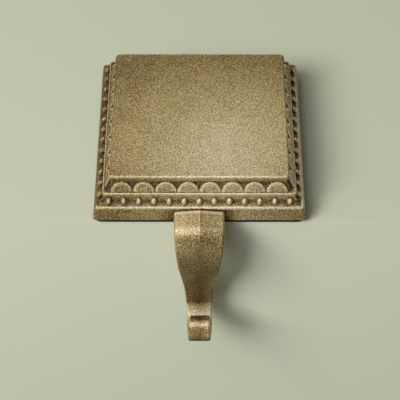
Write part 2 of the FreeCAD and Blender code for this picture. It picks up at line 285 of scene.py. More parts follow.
def finish_mesh(bm, name, material, sharp_degrees=40.0, creases=()):
    """Turns the bmesh into a finished piece of the object. Its faces shade smoothly into each
    other except over sharp angles and creases."""
    bmesh.ops.remove_doubles(bm, verts=bm.verts, dist=0.002 * MM)
    bmesh.ops.recalc_face_normals(bm, faces=bm.faces)
    for face in bm.faces:
        face.smooth = True
    sharp = math.radians(sharp_degrees)
    for edge in bm.edges:
        edge.smooth = edge.calc_face_angle(0.0) < sharp
    for edge in creases:
        edge.smooth = False
    mesh = bpy.data.meshes.new(name)
    bm.to_mesh(mesh)
    bm.free()
    mesh.materials.append(material)
    piece = bpy.data.objects.new(name, mesh)
    bpy.context.scene.collection.objects.link(piece)
    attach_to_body(piece, "root")
    return piece


def cut_away(piece, bm_cutter):
    """Cuts a closed shape out of a piece for good."""
    mesh = bpy.data.meshes.new("cutter")
    bm_cutter.to_mesh(mesh)
    bm_cutter.free()
    cutter = bpy.data.objects.new("cutter", mesh)
    bpy.context.scene.collection.objects.link(cutter)
    cut = piece.modifiers.new("cut", "BOOLEAN")
    cut.operation = "DIFFERENCE"
    cut.solver = "EXACT"
    cut.object = cutter
    bpy.context.view_layer.update()
    evaluated = piece.evaluated_get(bpy.context.evaluated_depsgraph_get())
    result = bpy.data.meshes.new_from_object(evaluated)
    old = piece.data
    piece.modifiers.clear()
    piece.data = result
    bpy.data.meshes.remove(old)
    result.name = piece.name
    bpy.data.objects.remove(cutter)
    bpy.data.meshes.remove(mesh)


def on_all_sides(bm, tone_layer, left_painted_light, right_painted_light, contrast):
    """Copies what stands on the front of the base to the other three sides. The tone of the
    left and right is a share of the front's, with more contrast, as painted light and shade for
    how the light falls on each side."""
    geometry = whole(bm)
    painted_light_at_turn = {1: right_painted_light, 3: left_painted_light}
    for turn in range(1, 4):
        verts = points_in(bmesh.ops.duplicate(bm, geom=geometry)["geom"])
        if turn in painted_light_at_turn:
            for vert in verts:
                vert[tone_layer] = painted_light_at_turn[turn] * vert[tone_layer] ** contrast
        bmesh.ops.rotate(bm, verts=verts, cent=(0, 0, 0),
                         matrix=Matrix.Rotation(math.radians(90 * turn), 3, "Z"))


def along_side(bm, count, pitch):
    """Spreads copies of one ornament along X, centred."""
    geometry = whole(bm)
    first = -(count - 1) / 2 * pitch
    for n in range(1, count):
        verts = points_in(bmesh.ops.duplicate(bm, geom=geometry)["geom"])
        bmesh.ops.translate(bm, verts=verts, vec=(first + n * pitch, 0, 0))
    bmesh.ops.translate(bm, verts=points_in(geometry), vec=(first, 0, 0))


def add_cone(bm, y, low, high, low_radius, high_radius, segments):
    """An upright cone or cylinder on the centre line of the base."""
    made = bmesh.ops.create_cone(bm, cap_ends=True, segments=segments, radius1=low_radius,
                                 radius2=high_radius, depth=high - low)
    bmesh.ops.translate(bm, vec=(0, y, (low + high) / 2), verts=made["verts"])


# Base moulding

class Levels:
    """Heights and half widths of the base that follow from its sizes."""

    def __init__(self, sizes):
        self.band_top = sizes.bottom + sizes.band_height
        self.ledge_bottom = self.band_top + sizes.channel_height
        self.ledge_top = self.ledge_bottom + sizes.ledge_height
        self.plate_bottom = self.ledge_top + sizes.ground_height
        self.plate_top = self.plate_bottom + sizes.plate_height
        self.band_half = sizes.half_width - sizes.band_flare
        self.channel_bottom = self.band_half - sizes.rim_width
        self.channel_top = self.channel_bottom - sizes.channel_run_in
        self.ledge_half = self.channel_top + sizes.ledge_overhang
        self.ground_bottom = self.ledge_half - sizes.ground_foot
        self.ground_top = self.ground_bottom - sizes.ground_height * math.tan(sizes.lean)
        self.plate_half = self.ground_top + sizes.plate_overhang
        self.channel_slope = math.atan2(sizes.channel_height, sizes.channel_run_in)


def rounded_corner(before, corner, after, radius, steps=5):
    """Points on a round corner of a profile, from its start to its end."""
    before, corner, after = Vector(before), Vector(corner), Vector(after)
    one, two = (before - corner).normalized(), (after - corner).normalized()
    half_angle = one.angle(two) / 2
    reach = radius / math.tan(half_angle)
    centre = corner + (one + two).normalized() * (radius / math.sin(half_angle))
    start, end = corner + one * reach - centre, corner + two * reach - centre
    swing = start.angle_signed(end)
    points = []
    for step in range(steps + 1):
        turned = start.copy()
        turned.rotate(Matrix.Rotation(-swing * step / steps, 2))
        points.append(centre + turned)
    return points


def moulding_profile(sizes):
    """(half width, height, upright corner radius, tone) up the base. The tone says how far the
    lacquer is rubbed off, with painted light and shade in it as well: 0 in a recess, where dark
    lacquer and painted shade meet, about 0.55 on an open face, 1 on an arris."""
    at = Levels(sizes)
    fine = sizes.arris_round
    band, inner, ledge, plate = (sizes.band_corner, sizes.inner_corner, sizes.ledge_corner,
                                 sizes.plate_corner)
    # half width, height, rounding, upright corner, tone of the corner, tone of the face above it
    corners = [
        (sizes.half_width, sizes.bottom, fine * 0.6, band, 0.64, 0.52),
        (at.band_half, at.band_top, fine * 1.3, band, 0.78, 0.66),
        (at.channel_bottom, at.band_top, 0.0, inner, 0.36, 0.30),
        # the channel's top under the ledge is painted lighter: painted light where the ledge's
        # overhang shades it
        (at.channel_top, at.ledge_bottom, 0.0, inner, 0.60, 0.55),
        (at.ledge_half, at.ledge_bottom, fine * 0.5, ledge, 0.60, 0.66),
        (at.ledge_half, at.ledge_top, fine, ledge, 0.74, 0.34),
        # the ground behind the scallops is dark lacquer and painted shade of the recess
        (at.ground_bottom, at.ledge_top, 0.0, inner, 0.16, 0.10),
        (at.ground_top, at.plate_bottom, 0.0, inner, 0.24, 0.10),
        (at.plate_half, at.plate_bottom, fine * 0.6, plate, 0.22, 0.44),
        (at.plate_half, at.plate_top, fine * 1.2, plate, 0.70, 0.57),
    ]
    support = 0.25 * MM
    channel_start = 2
    points = []
    for n, (half, height, radius, upright, tone, next_tone) in enumerate(corners):
        here = Vector((half, height))
        before = Vector(corners[n - 1][:2]) if n else Vector((0, height))
        after = Vector(corners[n + 1][:2]) if n + 1 < len(corners) else Vector((0, height))
        if radius:
            arc = rounded_corner(before, here, after, radius)
            start = arc[0] + (before - here).normalized() * support
            end = arc[-1] + (after - here).normalized() * support
            points.append((*start, upright, corners[n - 1][5] if n else tone))
            points += [(*point, upright, tone) for point in arc]
            points.append((*end, upright, next_tone))
        else:
            points.append((*here, upright, tone))
        if n == channel_start:
            points += channel_points(sizes, at)
    return points


def channel_points(sizes, at, steps=7):
    """Points on the hollow between the band and the ledge, darkest on its lower half."""
    low, high = Vector((at.channel_bottom, at.band_top)), Vector((at.channel_top, at.ledge_bottom))
    inward = Vector((-math.sin(at.channel_slope), -math.cos(at.channel_slope)))
    # the lower half is dark lacquer and painted shade; the upper half climbs to a lighter tone
    # towards the ledge, as painted light where the ledge's overhang shades it
    low_tone, dip = 0.30, 0.22
    high_tone, climb = 0.64, 0.90
    points = []
    for step in range(1, steps):
        share = step / steps
        hollow = math.sin(math.pi * share)
        point = low.lerp(high, share) + inward * sizes.channel_hollow * hollow
        tone = low_tone - dip * hollow if share < 0.5 else high_tone - climb * (1 - share)
        points.append((*point, sizes.inner_corner, tone))
    return points


def painted_flank_tone(tone, x, height, on_top, sizes, at):
    """Tone of a point on the left or right side of the base, with painted light and shade for how
    the light falls on each side. The right is painted lighter than the front. The left is painted
    darker on the band and on the ground, and both are painted darker on the plate's edge."""
    below_plate = height < at.plate_bottom - 0.1 * MM
    if x > 0 and below_plate:
        return tone * sizes.right_painted_light + sizes.right_painted_lift
    if height < (at.band_top + at.ledge_bottom) / 2:
        return tone * sizes.left_band_painted_shade
    if below_plate and height > at.ledge_top - 0.01 * MM:
        return tone * sizes.left_ground_painted_shade
    if not below_plate and not on_top:
        return tone * sizes.plate_edge_painted_shade
    return tone


def build_base(sizes, arm, finish):
    """The moulded body, with the slot and holes for the arm's tang in its underside."""
    points = moulding_profile(sizes)
    first_half = points[0][0]
    at = Levels(sizes)
    bm = bmesh.new()
    face = outline_face(bm, first_half, first_half, sizes.band_corner, 6)
    side, offset = mark_outline(bm, first_half, first_half)
    tone_layer = bm.verts.layers.float.new("tone")
    for n, (half, height, upright, tone) in enumerate(points):
        if n:
            face = next_ring(bm, face)
        on_top = n + 1 == len(points)
        scale = upright / sizes.band_corner
        for vert in face.verts:
            vert.co.x = vert[side][0] * half + vert[offset][0] * scale
            vert.co.y = vert[side][1] * half + vert[offset][1] * scale
            vert.co.z = height
            # the left and right sides get painted light and shade
            if abs(vert.co.x) > abs(vert.co.y):
                vert[tone_layer] = painted_flank_tone(tone, vert.co.x, height, on_top, sizes, at)
            else:
                vert[tone_layer] = tone
    # extra cuts where the painted shade beside the arm ends
    for across in (-sizes.notch_shade_half, sizes.notch_shade_half):
        bmesh.ops.bisect_plane(bm, geom=whole(bm), plane_co=(across, 0, 0), plane_no=(1, 0, 0))
    piece = finish_mesh(bm, "moulded_base", antique_brass(finish), 46.0)
    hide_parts("base_casting")
    cut_for_tang(piece, sizes, arm)


def box_between(bm, low, high):
    """A box from one corner to the other."""
    middle = (Vector(low) + Vector(high)) / 2
    size = Vector(high) - Vector(low)
    made = bmesh.ops.create_cube(bm, size=1.0)
    bmesh.ops.scale(bm, vec=size, verts=made["verts"])
    bmesh.ops.translate(bm, vec=middle, verts=made["verts"])


def raise_roof(bm, rise):
    """Raises the middle of a box's top into a low roof."""
    top = max(vert.co.z for vert in bm.verts)
    across = [edge for edge in bm.edges
              if min(vert.co.z for vert in edge.verts) > top - 0.01 * MM
              and abs(edge.verts[0].co.x - edge.verts[1].co.x) > MM]
    middle = points_in(bmesh.ops.bisect_edges(bm, edges=across, cuts=1)["geom_split"])
    bmesh.ops.connect_verts(bm, verts=middle)
    bmesh.ops.translate(bm, vec=(0, 0, rise), verts=middle)


def screw_places(sizes, arm):
    """Y of the two screws."""
    return [-sizes.half_width + arm.first_screw + n * arm.screw_spacing for n in range(2)]


def cut_for_tang(piece, sizes, arm):
    """Cuts the notch for the arm's root, the slot for its tang and the holes for the screws."""
    gap, over = arm.slot_clearance, 1.0 * MM
    hole_depth, hole_over = 14 * MM, 2 * MM
    front, low = -sizes.half_width, sizes.bottom
    half_root, half_tang = arm.root_width / 2 + gap, arm.tang_width / 2 + gap
    root_top = arm.bottom + arm.root_thickness + gap
    tang_top = low + arm.tang_recess + arm.tang_thickness
    notch = ((-half_root, front - over, low - over),
             (half_root, front + arm.root_depth + gap, root_top))
    slot = ((-half_tang, front + arm.root_depth - over, low - over),
            (half_tang, front + arm.tang_length + gap, tang_top))
    for corners, roof in ((notch, arm.ridge), (slot, 0.0)):
        bm = bmesh.new()
        box_between(bm, *corners)
        raise_roof(bm, roof)
        cut_away(piece, bm)
    for y in screw_places(sizes, arm):
        bm = bmesh.new()
        add_cone(bm, y, low - hole_over, low + hole_depth, arm.screw_radius, arm.screw_radius, 24)
        cut_away(piece, bm)
    paint_notch_shade(piece.data, sizes, arm)


def paint_notch_shade(mesh, sizes, arm):
    """Paints shade on the points of the cuts with one dark tone, which fades along the band beside
    the arm.
    """
    reach = arm.root_width / 2 + 2 * arm.slot_clearance
    top = sizes.bottom + sizes.band_height - 0.1 * MM
    for vert, item in zip(mesh.vertices, mesh.attributes["tone"].data):
        if abs(vert.co.x) < reach and vert.co.z < top:
            item.value = sizes.notch_shade_tone


# Ornament

def scallop_disc(bm, ornament, radius, depth):
    """One disc with a rounded edge and a softly swelling face, lying flat. Its rubbed line
    follows the edge of the flat face. Returns the layer of tones."""
    low_tone, face_tone, edge_tone = 0.10, 0.52, 0.94
    rubbed_line = 0.45 * MM
    ring = radius * 0.22
    bmesh.ops.create_circle(bm, cap_ends=True, segments=56, radius=radius)
    face = next_ring(bm, bm.faces[:][0])
    bmesh.ops.translate(bm, vec=(0, 0, depth), verts=face.verts)
    bmesh.ops.bevel(bm, geom=face.edges[:], affect="EDGES", offset=ornament.scallop_edge,
                    offset_type="OFFSET", segments=5, profile=0.5, material=-1)
    top = max(bm.faces, key=lambda item: (item.calc_center_median().z, item.calc_area()))
    for share in (0.8, 0.5, 0.25):
        bmesh.ops.inset_region(bm, faces=[top], use_even_offset=True, thickness=ring)
        for vert in top.verts:
            vert.co.z = depth + ornament.scallop_dome * (1 - share * share)
    tone_layer = bm.verts.layers.float.new("tone")
    flat_radius = radius - ornament.scallop_edge
    low = depth - ornament.scallop_edge * 0.55
    for vert in bm.verts:
        from_edge = abs(math.hypot(vert.co.x, vert.co.y) - flat_radius)
        near_edge = max(0.0, 1 - from_edge / rubbed_line)
        open_tone = face_tone + (edge_tone - face_tone) * near_edge
        vert[tone_layer] = low_tone if vert.co.z < low else open_tone
    return tone_layer


def lean_on_ground(bm, sizes, ornament, depth):
    """Leans the disc back on the sloping ground and trims it just inside ledge and plate."""
    at = Levels(sizes)
    sunk = 0.2 * MM
    lean = Matrix.Rotation(math.pi / 2 - sizes.lean, 4, "X")
    foot = at.ledge_half - sizes.ground_foot + ornament.scallop_relief / math.cos(sizes.lean)
    inward = Vector((0, math.cos(sizes.lean), -math.sin(sizes.lean)))
    bmesh.ops.translate(bm, verts=bm.verts, vec=(0, ornament.scallop_raise, 0))
    bmesh.ops.transform(bm, matrix=lean, verts=bm.verts)
    bmesh.ops.translate(bm, verts=bm.verts,
                        vec=Vector((0, -foot, at.ledge_top)) + inward * depth)
    for height, up in ((at.ledge_top - sunk, -1), (at.plate_bottom + sunk, 1)):
        bmesh.ops.bisect_plane(bm, geom=whole(bm), plane_co=(0, 0, height), plane_no=(0, 0, up),
                               clear_outer=True)
        bmesh.ops.holes_fill(bm, edges=[edge for edge in bm.edges if edge.is_boundary])


def build_scallops(sizes, ornament, finish):
    """Half-discs standing on the ledge, leaning back, with a softly swelling face."""
    at = Levels(sizes)
    foot_tone, foot_height = 0.25, 0.3 * MM
    depth = 2 * ornament.scallop_relief
    pitch = 2 * (at.ground_top + ornament.row_overrun) / ornament.scallops
    bm = bmesh.new()
    tone_layer = scallop_disc(bm, ornament, (pitch + ornament.scallop_overlap) / 2, depth)
    lean_on_ground(bm, sizes, ornament, depth)
    # painted shade at the foot, where the scallop meets the ledge
    for vert in bm.verts:
        if vert.co.z < at.ledge_top + foot_height:
            vert[tone_layer] = foot_tone
    along_side(bm, ornament.scallops, pitch)
    # the left and right copies get painted light and shade
    on_all_sides(bm, tone_layer, left_painted_light=1.1, right_painted_light=1.7, contrast=2.0)
    finish_mesh(bm, "scallop_moulding", antique_brass(finish), 50.0)


def build_beads(sizes, ornament, finish):
    """Oval beads in the channel."""
    at = Levels(sizes)
    slope = at.channel_slope
    middle = (at.channel_bottom + at.channel_top) / 2
    hollow_middle = middle - sizes.channel_hollow * math.sin(slope)
    pitch = 2 * (hollow_middle - ornament.bead_corner_gap) / (ornament.beads - 1)
    out = Vector((0, -math.sin(slope), math.cos(slope)))
    centre = Vector((0, -middle, (at.band_top + at.ledge_bottom) / 2))
    centre += out * (ornament.bead_stand_off - sizes.channel_hollow)
    bm = bmesh.new()
    bmesh.ops.create_uvsphere(bm, u_segments=20, v_segments=14, radius=ornament.bead_width / 2)
    oval = ornament.bead_length / ornament.bead_width
    bmesh.ops.scale(bm, vec=(1, oval, 1), verts=bm.verts)
    tone_layer = bm.verts.layers.float.new("tone")
    foot_tone, top_tone = 0.16, 0.90
    for vert in bm.verts:
        height = vert.co.z / (ornament.bead_width / 2)
        vert[tone_layer] = foot_tone + (top_tone - foot_tone) * max(0.0, height)
    bmesh.ops.rotate(bm, verts=bm.verts, cent=(0, 0, 0), matrix=Matrix.Rotation(slope, 3, "X"))
    bmesh.ops.translate(bm, vec=centre, verts=bm.verts)
    along_side(bm, ornament.beads, pitch)
    # the left and right copies get painted light and shade
    on_all_sides(bm, tone_layer, left_painted_light=0.9, right_painted_light=1.5, contrast=1.4)
    finish_mesh(bm, "bead_moulding", antique_brass(finish), 60.0)


# Hook arm

def arm_legs(arm):
    """(length, signed curvature) of the arm's centreline, first the root in the casting. The
    short legs end where the painted tone changes: a painted shadow, a painted highlight strip and
    a painted dark line."""
    shadow, highlight_strip, line = 0.4 * MM, 1.5 * MM, 0.5 * MM
    return [
        (arm.root_depth - shadow, 0.0),
        (shadow, 0.0),
        (highlight_strip, 0.0),
        (line, 0.0),
        (line, 0.0),
        (arm.shoulder_run - highlight_strip - 2 * line, 0.0),
        (arm.shoulder_radius * arm.shoulder_angle, 1 / arm.shoulder_radius),
        (arm.brow_radius * (math.pi / 2 - arm.shoulder_angle), 1 / arm.brow_radius),
        (arm.sweep_radius * arm.sweep_angle, 1 / arm.sweep_radius),
        (arm.sweep_radius * arm.sweep_angle, -1 / arm.sweep_radius),
        (arm.bowl_radius * arm.bowl_angle, -1 / arm.bowl_radius),
        (arm.bowl_run, 0.0),
        (arm.scroll_radius * arm.scroll_angle, -1 / arm.scroll_radius),
    ]


def arm_stations(sizes, arm):
    """(distance, y, z, heading) down the arm, close together where it turns."""
    largest_turn, longest_step = math.radians(6), 2.5 * MM
    station = (-arm.root_depth, -sizes.half_width + arm.root_depth,
               arm.bottom + arm.root_thickness / 2, 0.0)
    stations = [station]
    for run, curvature in arm_legs(arm):
        turn = abs(run * curvature)
        steps = max(math.ceil(turn / largest_turn), math.ceil(run / longest_step), 1)
        step = run / steps
        half_turn = step * curvature / 2
        chord = step * math.sin(half_turn) / half_turn if curvature else step
        for _ in range(steps):
            travelled, y, z, heading = station
            along = heading + half_turn
            station = (travelled + step, y - chord * math.cos(along),
                       z - chord * math.sin(along), along + half_turn)
            stations.append(station)
    return stations


def arm_widths(arm, travelled):
    """Half width, half thickness and crease height of the arm at a distance from the base."""
    to_tip = sum(run for run, _ in arm_legs(arm)) - arm.root_depth
    forward = max(0.0, travelled)
    if forward < arm.neck_distance:
        share = (1 + math.cos(math.pi * forward / arm.neck_distance)) / 2
        width = arm.neck_width + (arm.root_width - arm.neck_width) * share
    else:
        share = (forward - arm.neck_distance) / (to_tip - arm.neck_distance)
        width = arm.neck_width + (arm.tip_width - arm.neck_width) * share
    thickness = arm.root_thickness + (arm.tip_thickness - arm.root_thickness) * forward / to_tip
    faded = min(1.0, max(0.0, (forward - arm.shoulder_run) / arm.ridge_fade))
    crease = arm.ridge * (1 + math.cos(math.pi * faded)) / 2
    return width / 2, thickness / 2, crease


def place_section(face, layers, station, arm, inset=0.0, forward=0.0):
    """Moves the end face of the arm to a station, keeping its rounded corners, which shrink
    where the section is inset."""
    side, offset, tone_layer = layers
    travelled, y, z, heading = station
    half_width, half_thickness, crease = arm_widths(arm, travelled)
    shrink = 1 - inset / half_thickness
    outer = Vector((0, -math.sin(heading), math.cos(heading)))
    ahead = Vector((0, -math.cos(heading), -math.sin(heading)))
    centre = Vector((0, y, z)) + ahead * forward
    for vert in face.verts:
        x = vert[side][0] * (half_width - inset) + vert[offset][0] * shrink
        out = vert[side][1] * (half_thickness - inset) + vert[offset][1] * shrink
        on_top_line = vert[side][0] == 0.0 and vert[side][1] > 0
        if on_top_line:
            out += crease * (1 - abs(x) / half_width)
        vert.co = centre + Vector((x, 0, 0)) + outer * out
        on_edge = vert[side][0] != 0.0 and (abs(vert[offset][0]) > 0 or abs(vert[offset][1]) > 0)
        # painted light and shade down the arm
        tone = arm_painted_tone(arm, travelled, vert[side][1] < 0)
        if on_edge:
            tone += arm.edge_wear
        # painted highlight along the crease
        if on_top_line and abs(vert[offset][0]) < 0.01 * MM:
            tone += arm.crease_highlight * max(0.0, 2 * crease / arm.ridge - 1)
        # the right half gets painted light and shade
        elif x > 0:
            tone += right_half_painted_light(travelled, on_edge)
        vert[tone_layer] = tone


def spread(stops, place):
    """Value at a place between (place, value) stops."""
    for (low, first), (high, last) in zip(stops, stops[1:]):
        if place < high:
            return first + (last - first) * max(0.0, (place - low) / (high - low))
    return stops[-1][1]


def right_half_painted_light(travelled, on_edge):
    """Painted light on the right half of the arm beyond the left: painted shade at the shoulder,
    and a painted highlight on its edge lower down."""
    return spread([(12.0, -0.10), (18.0, 0.0), (35.0, 0.0), (50.0, 0.20 if on_edge else 0.0)],
                  travelled / MM)


def arm_painted_tone(arm, travelled, on_back):
    """Painted light and shade down the arm, with some wear, by (millimetres, tone) stops. Its face
    has a painted shadow where it leaves the casting, a painted highlight on the edge just in front
    of that, painted shade below the shoulder and a painted highlight in the bowl, where the loop
    lies and rubs the finish too. The scroll shows its back, with a painted highlight on the front
    of the turn and painted shade over the top."""
    legs = arm_legs(arm)
    scroll = sum(run for run, _ in legs[:-1]) - arm.root_depth
    bowl = (scroll - legs[-2][0] - legs[-3][0]) / MM
    if on_back:
        return spread([(8.0, 0.58), (10.1, 0.54), (11.0, 0.86), (12.0, 0.82), (12.9, 0.34),
                       (14.0, 0.20)], (travelled - scroll) / MM)
    return spread([(-0.4, 0.10), (0.0, 0.82), (1.5, 0.76), (2.0, 0.34), (2.5, 0.54), (9.0, 0.54),
                   (12.5, 0.41), (18.0, 0.48), (30.0, 0.46), (45.0, 0.39), (bowl + 1.5, 0.38),
                   (bowl + 5.0, 0.88), (bowl + 9.0, 0.98), (bowl + 16.0, 0.50)], travelled / MM)


def build_arm(sizes, arm, finish):
    """The arm swept along its centreline, from the root in the casting to the rounded tip."""
    half_width, half_thickness = arm.root_width / 2, arm.root_thickness / 2
    bm = bmesh.new()
    face = outline_face(bm, half_width, half_thickness, arm.edge_round, 5)
    long_edges = [edge for edge in bm.edges if edge.calc_length() > half_width]
    bmesh.ops.bisect_edges(bm, edges=long_edges, cuts=1)
    top_halves = [edge for edge in bm.edges if edge.calc_length() > half_width * 0.8
                  and edge.verts[0].co.y > 0]
    bmesh.ops.bisect_edges(bm, edges=top_halves, cuts=1)
    side, offset = mark_outline(bm, half_width, half_thickness)
    # the points halfway along the top become the two sides of the crease's line, which carries a
    # painted highlight
    for vert in bm.verts:
        if 0.2 < abs(vert.co.x) / half_width < 0.8:
            vert[side] = (0.0, 1.0, 0.0)
            vert[offset] = (math.copysign(arm.ridge_line, vert.co.x), 0.0, 0.0)
    layers = (side, offset, bm.verts.layers.float.new("tone"))
    bm.faces.ensure_lookup_table()
    face = bm.faces[0]
    stations = arm_stations(sizes, arm)
    for n, station in enumerate(stations):
        if n:
            face = next_ring(bm, face)
        place_section(face, layers, station, arm)
    for degrees in range(15, 91, 15):
        face = next_ring(bm, face)
        forward = arm.tip_round * math.sin(math.radians(degrees))
        inset = arm.tip_round * (1 - math.cos(math.radians(degrees)))
        place_section(face, layers, stations[-1], arm, inset, forward)
    creases = crease_edges(bm, side)
    piece = finish_mesh(bm, "cast_arm", antique_brass(finish), 35.0, creases)
    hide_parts("hook_arm")


def crease_edges(bm, side):
    """Edges along the crease on the top of the arm, where the two slopes meet."""
    return [edge for edge in bm.edges
            if all(abs(vert[side][0]) < 0.5 and vert[side][1] > 0.5
                   and abs(vert.co.x) < 0.01 * MM for vert in edge.verts)]


def build_tang(sizes, arm, finish):
    """Tang plate under the base, with countersunk holes."""
    sink, over, tang_tone = 2 * MM, 10 * MM, 0.4
    low = sizes.bottom + arm.tang_recess
    front = -sizes.half_width + arm.root_depth * 0.5
    half = arm.tang_width / 2
    bm = bmesh.new()
    box_between(bm, (-half, front, low),
                (half, -sizes.half_width + arm.tang_length, low + arm.tang_thickness))
    corners = [edge for edge in bm.edges
               if abs(edge.verts[0].co.z - edge.verts[1].co.z) > MM
               and edge.verts[0].co.y > front + MM]
    bmesh.ops.bevel(bm, geom=corners, affect="EDGES", offset=arm.tang_corner,
                    offset_type="OFFSET", segments=6, profile=0.5, material=-1)
    tone_layer = bm.verts.layers.float.new("tone")
    for vert in bm.verts:
        vert[tone_layer] = tang_tone
    piece = finish_mesh(bm, "arm_tang", antique_brass(finish))
    head, hole = arm.screw_head_radius, arm.screw_radius + arm.screw_clearance
    for reach, low_radius, high_radius in ((sink, head + sink, head - sink), (over, hole, hole)):
        bm = bmesh.new()
        for y in screw_places(sizes, arm):
            add_cone(bm, y, low - reach, low + reach, low_radius, high_radius, 32)
        cut_away(piece, bm)


# Materials

def attach(tree, socket, value):
    """Sets the input of a node, or links it where the value is an output of another node."""
    if isinstance(value, bpy.types.NodeSocket):
        tree.links.new(value, socket)
    else:
        socket.default_value = value


def set_node(tree, made, **values):
    """Sets or links inputs of a node, and sets its plain settings. A name with two words has an
    underscore here."""
    for key, value in values.items():
        words = key.replace("_", " ")
        if words in made.inputs:
            attach(tree, made.inputs[words], value)
        else:
            setattr(made, key, value)


def node(tree, kind, **values):
    """A new shader node with its inputs and settings."""
    made = tree.nodes.new(kind)
    set_node(tree, made, **values)
    return made


def maths(tree, operation, *values, use_clamp=False):
    """Result of a calculation with these values or outputs."""
    made = node(tree, "ShaderNodeMath", operation=operation, use_clamp=use_clamp)
    for socket, value in zip(made.inputs, values):
        attach(tree, socket, value)
    return made.outputs[0]


def stretch(tree, value, low, high, first, last):
    """Turns values from low to high into values from first to last."""
    made = node(tree, "ShaderNodeMapRange", Value=value, From_Min=low, From_Max=high,
                To_Min=first, To_Max=last)
    return made.outputs["Result"]


def ramp(tree, value, stops):
    """Colour between these (position, colour) stops."""
    made = node(tree, "ShaderNodeValToRGB", Fac=value)
    elements = made.color_ramp.elements
    while len(elements) < len(stops):
        elements.new(0.5)
    for element, (position, rgb) in zip(elements, stops):
        element.position = position
        element.color = (*rgb, 1.0)
    return made.outputs["Color"]


def noise(tree, place, size, **values):
    """A cloudy pattern with features of about this size."""
    made = node(tree, "ShaderNodeTexNoise", Vector=place, Scale=1 / size, **values)
    return made.outputs["Fac"]


def bump(tree, height, strength, depth):
    """Normals of a surface that is raised by a pattern."""
    made = node(tree, "ShaderNodeBump", Strength=strength, Distance=depth, Height=height)
    return made.outputs["Normal"]


def new_material(name):
    """A material, its node tree and its shader."""
    material = bpy.data.materials.new(name)
    material.use_nodes = True
    return material, material.node_tree, material.node_tree.nodes["Principled BSDF"]


def object_place(tree):
    """Each point's place on the object, which patterns are drawn by."""
    return node(tree, "ShaderNodeTexCoord").outputs["Object"]


def antique_brass(finish):
    """Lacquered brass: dark in the recesses, rubbed bright on the arrises, with a fine grain, and
    with the painted light and shade that the tone carries.
    """
    found = bpy.data.materials.get("antique_brass")
    if found:
        return found
    material, tree, shader = new_material("antique_brass")
    place = object_place(tree)
    tone = node(tree, "ShaderNodeAttribute", attribute_name="tone").outputs["Fac"]

    # the patterns are turned, so that no face of the base lies along their own planes
    turned = node(tree, "ShaderNodeMapping", Vector=place, Rotation=(0.5, 0.35, 0.2))
    turned = turned.outputs["Vector"]
    grain = noise(tree, turned, finish.grain, Detail=0.0)
    mottle = noise(tree, turned, finish.mottle, Detail=3.0, Roughness=0.6)

    # the tone wanders a little with the mottle and the grain
    cloudy, grainy = finish.mottle_contrast, finish.grain_contrast
    clouds = maths(tree, "MULTIPLY_ADD", mottle, cloudy, -cloudy / 2)
    specks = maths(tree, "MULTIPLY_ADD", grain, grainy, -grainy / 2)
    wander = maths(tree, "ADD", clouds, specks)

    # painted sheen and wear: the tone is lighter towards the front right of the base, partly
    # rubbed lacquer and partly a painted highlight, and darker away from it
    wear_and_sheen_centre = [value * MM for value in (12.0, -26.0, 15.0)]
    away = node(tree, "ShaderNodeVectorMath", operation="DISTANCE")
    attach(tree, away.inputs[0], place)
    attach(tree, away.inputs[1], wear_and_sheen_centre)
    wear_and_sheen = stretch(tree, away.outputs["Value"], 0.0, finish.wear_and_sheen_reach, finish.near_wear_and_sheen,
                   finish.far_wear_and_sheen)

    # recesses stay dark all over
    open_tone, recess_share = 0.45, 0.15
    share = stretch(tree, tone, 0.0, open_tone, recess_share, 1.0)
    shift = maths(tree, "MULTIPLY_ADD", wear_and_sheen, share, wander)
    moved = maths(tree, "ADD", tone, shift, use_clamp=True)
    brass = ramp(tree, moved, [(0.0, finish.recess), (0.34, finish.shade), (0.58, finish.brass),
                               (0.86, finish.rubbed), (1.0, finish.bare)])

    swing = 0.08
    rough = stretch(tree, grain, 0.3, 0.7, finish.roughness - swing, finish.roughness + swing)
    set_node(tree, shader, Base_Color=brass, Metallic=finish.metallic, Roughness=rough,
             Coat_Weight=finish.coat, Coat_Roughness=finish.coat_roughness,
             Normal=bump(tree, grain, 0.5, 0.12 * MM))
    return material


def pad_rubber(finish):
    """Matt black rubber with a fine pitted surface."""
    material, tree, shader = new_material("pad_rubber")
    pits = noise(tree, object_place(tree), 0.8 * MM, Detail=2.0)
    pale = tuple(min(1.0, channel * 2.2) for channel in finish.rubber)
    rubber = ramp(tree, pits, [(0.35, finish.rubber), (0.75, pale)])
    set_node(tree, shader, Base_Color=rubber, Roughness=0.85,
             Normal=bump(tree, pits, 0.4, 0.08 * MM))
    return material


def screw_steel(finish):
    """Plain steel with faint turning marks."""
    material, tree, shader = new_material("screw_steel")
    marks = noise(tree, object_place(tree), 0.5 * MM, Detail=2.0)
    dull = tuple(channel * 0.7 for channel in finish.steel)
    steel = ramp(tree, marks, [(0.3, dull), (0.7, finish.steel)])
    set_node(tree, shader, Base_Color=steel, Metallic=1.0,
             Roughness=stretch(tree, marks, 0.0, 1.0, 0.25, 0.5))
    return material


def ledge_paint(stage):
    """Flat paint, a little paler on the upright front so that top and front match in the light."""
    material, tree, shader = new_material("ledge_paint")
    facing = node(tree, "ShaderNodeNewGeometry").outputs["Normal"]
    upward = node(tree, "ShaderNodeSeparateXYZ", Vector=facing).outputs["Z"]
    edge_colour = tuple(channel * stage.edge_shade for channel in stage.top_colour)
    paint = ramp(tree, upward, [(0.0, stage.front_colour), (0.7, edge_colour),
                                (1.0, stage.top_colour)])
    set_node(tree, shader, Base_Color=paint, Roughness=0.9, Specular_IOR_Level=0.1)
    return material


# Operators

class HOLDER_OT_base(Operator):
    """Builds the moulded body of the base"""
    bl_idname = "holder.base"
    bl_label = "Moulded Base"

    def execute(self, context):
        scene = context.scene
        build_base(scene.holder_base, scene.holder_arm, scene.holder_finish)
        return {"FINISHED"}


